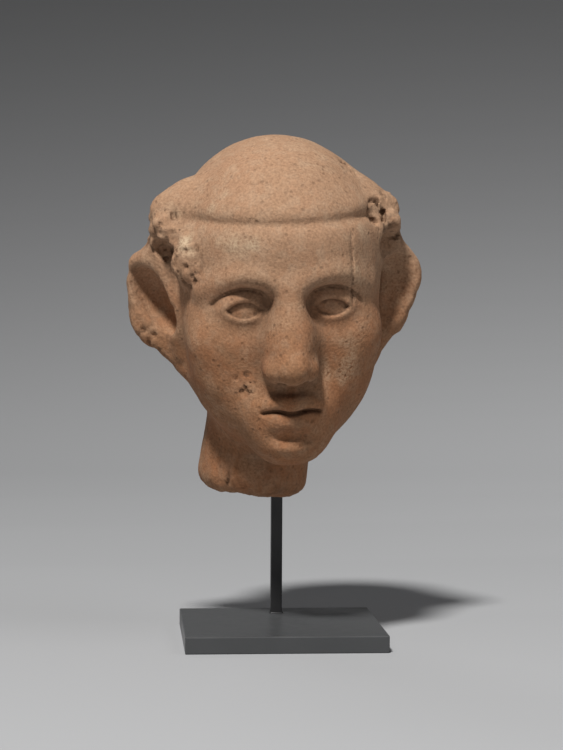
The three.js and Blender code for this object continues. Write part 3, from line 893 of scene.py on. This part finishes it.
def makeSkinTree(material):
    tree, given, result = newTree(
        "claySkin", "GeometryNodeTree",
        [("Geometry", "NodeSocketGeometry", None)]
        + [(name, "NodeSocketFloat", float(value)) for name, value in skinForm.items()]
        + [("Material", "NodeSocketMaterial", material)],
        [("Geometry", "NodeSocketGeometry")],
    )
    place = addNode(tree, "GeometryNodeInputPosition").outputs[0]
    normal = addNode(tree, "GeometryNodeInputNormal").outputs[0]
    rough = addNode(tree, "GeometryNodeInputNamedAttribute", data_type="FLOAT")
    rough.inputs["Name"].default_value = "rough"
    rough = rough.outputs["Attribute"]
    grain = addNode(tree, "ShaderNodeTexNoise", {
        "Vector": place, "W": given["Seed"], "Detail": 2.0,
        "Scale": maths(tree, "DIVIDE", 1000.0, given["Grain Size"])}, noise_dimensions="4D")
    dots = addNode(tree, "ShaderNodeTexVoronoi", {
        "Vector": place, "W": given["Seed"],
        "Scale": maths(tree, "DIVIDE", 1000.0, given["Pit Size"])}, voronoi_dimensions="4D")
    luck = addNode(tree, "FunctionNodeSeparateColor", {"Color": dots.outputs["Color"]}).outputs[0]
    reach = between(tree, maths(tree, "ADD", luck, maths(tree, "MULTIPLY", rough, 0.25)),
                    0.72, 1.0, 0.0, 0.34)
    pit = between(tree, maths(tree, "SUBTRACT", reach, dots.outputs["Distance"]), 0.0, 0.12)
    height = maths(tree, "MULTIPLY", maths(tree, "SUBTRACT", grain.outputs[0], 0.5),
                   maths(tree, "MULTIPLY_ADD", rough, 1.6, 1.0))
    height = maths(tree, "MULTIPLY", height, given["Grain Height"])
    height = maths(tree, "SUBTRACT", height, maths(tree, "MULTIPLY", pit, given["Pit Depth"]))
    shift = addNode(tree, "ShaderNodeVectorMath", {0: normal}, operation="SCALE")
    feed(tree, shift.inputs["Scale"], maths(tree, "MULTIPLY", height, mm))
    moved = addNode(tree, "GeometryNodeSetPosition", {"Geometry": given["Geometry"],
                                                     "Offset": shift.outputs[0]})
    real = addNode(tree, "GeometryNodeRealizeInstances", {"Geometry": moved.outputs[0]})
    dressed = addNode(tree, "GeometryNodeSetMaterial", {"Geometry": real.outputs[0],
                                                       "Material": given["Material"]})
    feed(tree, result["Geometry"], dressed.outputs[0])
    return tree


def applied(piece, tree, values):
    modifier = piece.modifiers.new(tree.name, "NODES")
    modifier.node_group = tree
    for item in tree.interface.items_tree:
        if item.in_out == "INPUT" and item.name in values:
            modifier[item.identifier] = values[item.name]
    graph = bpy.context.evaluated_depsgraph_get()
    made = bpy.data.meshes.new_from_object(piece.evaluated_get(graph), depsgraph=graph)
    piece.modifiers.remove(modifier)
    old = piece.data
    piece.data = made
    bpy.data.meshes.remove(old)
    made.name = piece.name
    return piece


# The stand: a bevelled plate with a blind pocket, and a square bar with a bead round its foot.
plateForm = {"bevel": 0.35, "segments": 3, "pocket": 3}


def linked(name, bm):
    mesh = bpy.data.meshes.new(name)
    bmesh.ops.recalc_face_normals(bm, faces=bm.faces)
    bm.to_mesh(mesh)
    bm.free()
    piece = bpy.data.objects.new(name, mesh)
    bpy.context.scene.collection.objects.link(piece)
    return piece


def corners(bm, middle, halfX, halfY, z):
    return [bm.verts.new((middle[0] + sx * halfX, middle[1] + sy * halfY, z))
            for sx, sy in ((-1, -1), (1, -1), (1, 1), (-1, 1))]


def bevelled(piece, width, segments):
    modifier = piece.modifiers.new("edges", "BEVEL")
    modifier.width = width
    modifier.segments = segments
    modifier.limit_method = "WEIGHT"
    modifier.harden_normals = False
    graph = bpy.context.evaluated_depsgraph_get()
    made = bpy.data.meshes.new_from_object(piece.evaluated_get(graph), depsgraph=graph)
    piece.modifiers.remove(modifier)
    piece.data = made
    made.name = piece.name
    return piece


def makePlate():
    low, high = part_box("base_plate")
    middle = ((low[0] + high[0]) / 2, (low[1] + high[1]) / 2)
    hole = (barForm["side"] / 2 + barForm["clear"]) * mm
    barAt = (barForm["x"] * mm, barForm["y"] * mm)
    bm = bmesh.new()
    halfX, halfY = (high[0] - low[0]) / 2, (high[1] - low[1]) / 2
    foot = corners(bm, middle, halfX, halfY, low[2])
    top = corners(bm, middle, halfX, halfY, high[2])
    lip = corners(bm, barAt, hole, hole, high[2])
    well = corners(bm, barAt, hole, hole, high[2] - plateForm["pocket"] * mm)
    bm.faces.new(foot[::-1])
    bm.faces.new(well)
    for i in range(4):
        j = (i + 1) % 4
        bm.faces.new((foot[i], foot[j], top[j], top[i]))
        bm.faces.new((top[i], top[j], lip[j], lip[i]))
        bm.faces.new((lip[i], lip[j], well[j], well[i]))
    weight = bm.edges.layers.float.new("bevel_weight_edge")
    outer = set(foot + top)
    for edge in bm.edges:
        if edge.verts[0] in outer and edge.verts[1] in outer:
            edge[weight] = 1
    return bevelled(linked("steelPlate", bm), plateForm["bevel"] * mm, plateForm["segments"])


barEdge = {"bevel": 0.18, "segments": 2, "rings": 9}

# A thin bead of sealer closes the gap round the bar's foot. Sizes are in millimetres.
beadForm = {"Side": 3.5, "Corner": 0.45, "Thickness": 0.26, "Height": 4.8, "Along": 17.3}


def makeBeadTree(material):
    tree, given, result = newTree(
        "footBead", "GeometryNodeTree",
        [("Geometry", "NodeSocketGeometry", None)]
        + [(name, "NodeSocketFloat", float(value)) for name, value in beadForm.items()]
        + [("Material", "NodeSocketMaterial", material)],
        [("Geometry", "NodeSocketGeometry")],
    )
    scaled = {name: maths(tree, "MULTIPLY", given[name], mm) for name in beadForm}
    square = addNode(tree, "GeometryNodeCurvePrimitiveQuadrilateral",
                     {"Width": scaled["Side"], "Height": scaled["Side"]})
    rounded = addNode(tree, "GeometryNodeFilletCurve", {
        "Curve": square.outputs[0], "Radius": scaled["Corner"], "Count": 4}, mode="POLY")
    spot = addNode(tree, "ShaderNodeCombineXYZ", {"Y": scaled["Along"], "Z": scaled["Height"]})
    path = addNode(tree, "GeometryNodeTransform", {"Geometry": rounded.outputs[0],
                                                  "Translation": spot.outputs[0]})
    section = addNode(tree, "GeometryNodeCurvePrimitiveCircle",
                      {"Resolution": 10, "Radius": scaled["Thickness"]})
    bead = addNode(tree, "GeometryNodeCurveToMesh", {"Curve": path.outputs[0],
                                                    "Profile Curve": section.outputs[0]})
    both = addNode(tree, "GeometryNodeJoinGeometry")
    tree.links.new(bead.outputs[0], both.inputs[0])
    tree.links.new(given["Geometry"], both.inputs[0])
    real = addNode(tree, "GeometryNodeRealizeInstances", {"Geometry": both.outputs[0]})
    dressed = addNode(tree, "GeometryNodeSetMaterial", {"Geometry": real.outputs[0],
                                                       "Material": given["Material"]})
    feed(tree, result["Geometry"], dressed.outputs[0])
    return tree


def makeBar(material):
    low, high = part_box("support_bar")
    middle = ((low[0] + high[0]) / 2, (low[1] + high[1]) / 2)
    half = (high[0] - low[0]) / 2
    bm = bmesh.new()
    rings = [corners(bm, middle, half, half, z)
             for z in np.linspace(low[2], high[2], barEdge["rings"])]
    ends = set(rings[0] + rings[-1])
    bm.faces.new(rings[0][::-1])
    bm.faces.new(rings[-1])
    for below, above in zip(rings, rings[1:]):
        for i in range(4):
            j = (i + 1) % 4
            bm.faces.new((below[i], below[j], above[j], above[i]))
    weight = bm.edges.layers.float.new("bevel_weight_edge")
    for edge in bm.edges:
        upright = abs(edge.verts[0].co.z - edge.verts[1].co.z) > 1e-6
        if upright or (edge.verts[0] in ends and edge.verts[1] in ends):
            edge[weight] = 1
    piece = bevelled(linked("squareBar", bm), barEdge["bevel"] * mm, barEdge["segments"])
    values = {name: float(value) for name, value in beadForm.items()}
    return applied(piece, makeBeadTree(material), {**values, "Material": material})


# A sweep of backdrop paper: flat under the stand, then curving up. Its grey level falls along the sweep from
# near to far, between two places in metres along it: painted shade for the light falling off up the sweep,
# and painted light that makes it lighter towards the right.
stageForm = {"near": -7, "curveStart": 0.55, "radius": 0.9, "top": 4, "half": 7, "columns": 28,
             "foreground": 176, "floor": 164, "far": 60, "fallStart": 0.55, "fallEnd": 1.75,
             "right": 0.35}  # how much lighter each metre to the right is


def makeStage():
    start, radius = stageForm["curveStart"], stageForm["radius"]
    profile = [(y, 0, y) for y in np.linspace(stageForm["near"], start, 60)]
    for turn in np.linspace(0, math.pi / 2, 40)[1:]:
        profile.append((start + radius * math.sin(turn), radius - radius * math.cos(turn),
                        start + radius * turn))
    foot = profile[-1]
    profile.append((foot[0], stageForm["top"], foot[2] + stageForm["top"] - foot[1]))
    columns = np.linspace(-stageForm["half"], stageForm["half"], stageForm["columns"] + 1)
    wide = len(columns)
    vertices = [(x, y, z) for y, z, along in profile for x in columns]
    faces = [(row * wide + i, row * wide + i + 1, row * wide + wide + i + 1, row * wide + wide + i)
             for row in range(len(profile) - 1) for i in range(wide - 1)]
    mesh = bpy.data.meshes.new("backdrop")
    mesh.from_pydata(vertices, [], faces)
    mesh.polygons.foreach_set("use_smooth", np.ones(len(faces), bool))
    along = np.array([row[2] for row in profile])[:, None] * np.ones(wide)
    # Painted shade: the paper is lightest near the camera and darkens far up the sweep, as the light falls
    # off.
    level = stageForm["foreground"] + (stageForm["floor"] - stageForm["foreground"]) * ramp(along, -0.35, 0.2)
    fall = ramp(along, stageForm["fallStart"], stageForm["fallEnd"])
    level += (stageForm["far"] - stageForm["floor"]) * fall
    # Painted light: the paper is lighter towards the right.
    side = 1 + stageForm["right"] * np.clip(columns, -0.5, 0.5) * ramp(along, -0.2, 0.6)
    tone = ((level * side / 255 + 0.055) / 1.055) ** 2.4
    keepAttribute(mesh, "tone", tone.ravel())
    floor = bpy.data.objects.new("backdrop", mesh)
    bpy.context.scene.collection.objects.link(floor)
    material, tree, shader = newMaterial("backdropPaper", (0.6, 0.6, 0.6))
    shader.inputs["Roughness"].default_value = 1
    shader.inputs["Specular IOR Level"].default_value = 0
    shade = addNode(tree, "ShaderNodeAttribute", attribute_name="tone").outputs["Fac"]
    feed(tree, shader.inputs["Base Color"], mixed(tree, shade, (0, 0, 0, 1), (0.99, 1, 1.02, 1)))
    mesh.materials.append(material)


# The camera stands where the perspective of the plate and bar put it.
cameraForm = {"place": (-45.5, -585.9, 96.3), "yaw": -4.43, "down": 2.16, "roll": 0.31,
              "focal": 2100, "frame": 750, "sensor": 36}


def makeCamera():
    data = bpy.data.cameras.new("camera")
    data.sensor_width = cameraForm["sensor"]
    data.lens = cameraForm["focal"] / cameraForm["frame"] * cameraForm["sensor"]
    data.clip_start = 0.01
    camera = bpy.data.objects.new("camera", data)
    bpy.context.scene.collection.objects.link(camera)
    turn = (Matrix.Rotation(math.radians(cameraForm["yaw"]), 4, "Z")
            @ Matrix.Rotation(math.radians(90 - cameraForm["down"]), 4, "X")
            @ Matrix.Rotation(math.radians(cameraForm["roll"]), 4, "Z"))
    camera.matrix_world = Matrix.Translation(Vector(cameraForm["place"]) * mm) @ turn
    bpy.context.scene.camera = camera


lightForm = {
    "key": {"from": (-0.55, -1.34, 2.12), "size": 0.34, "watts": 80, "tint": (1, 0.99, 0.975)},
    "side": {"from": (0.8, -0.55, 1.0), "size": 0.7, "watts": 2.2, "tint": (0.97, 0.98, 1)},
    "back": {"from": (-0.5, 1.3, 1.1), "size": 0.8, "watts": 3.5, "tint": (0.97, 0.98, 1)},
}


def makeLights():
    for name, form in lightForm.items():
        data = bpy.data.lights.new(name, "AREA")
        data.shape = "DISK"
        data.size = form["size"]
        data.energy = form["watts"]
        data.color = form["tint"]
        lamp = bpy.data.objects.new(name, data)
        bpy.context.scene.collection.objects.link(lamp)
        aim = Vector((0, 0, 0.09))
        lamp.location = form["from"]
        lamp.rotation_euler = (aim - lamp.location).to_track_quat("-Z", "Y").to_euler()
    world = bpy.data.worlds.new("studio")
    world.use_nodes = True
    world.node_tree.nodes["Background"].inputs["Color"].default_value = (0.5, 0.505, 0.52, 1)
    world.node_tree.nodes["Background"].inputs["Strength"].default_value = 0.07
    bpy.context.scene.world = world
    bpy.context.scene.view_settings.view_transform = "Standard"


makeCamera()
makeStage()
makeLights()
print("stage, lights and camera are up")

grainGroup, patchGroup = makeGrainGroup(), makePatchGroup()
clay = makeClay(grainGroup, patchGroup)
barPaint = makePaint("barPaint", paintLook["bar"], grainGroup, patchGroup)
platePaint = makePaint("platePaint", paintLook["plate"], grainGroup, patchGroup)
print("finishes are made")

head = applied(makeHead(), makeSkinTree(clay), {**{k: float(v) for k, v in skinForm.items()},
                                               "Material": clay})
bar = makeBar(barPaint)
plate = makePlate()
plate.data.materials.append(platePaint)
for piece, node, slot in ((head, "terracotta_head", "terracotta"), (bar, "support_bar", "bar_paint"),
                          (plate, "base_plate", "plate_paint")):
    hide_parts(node)
    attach(piece, "root")
print("pieces are placed")
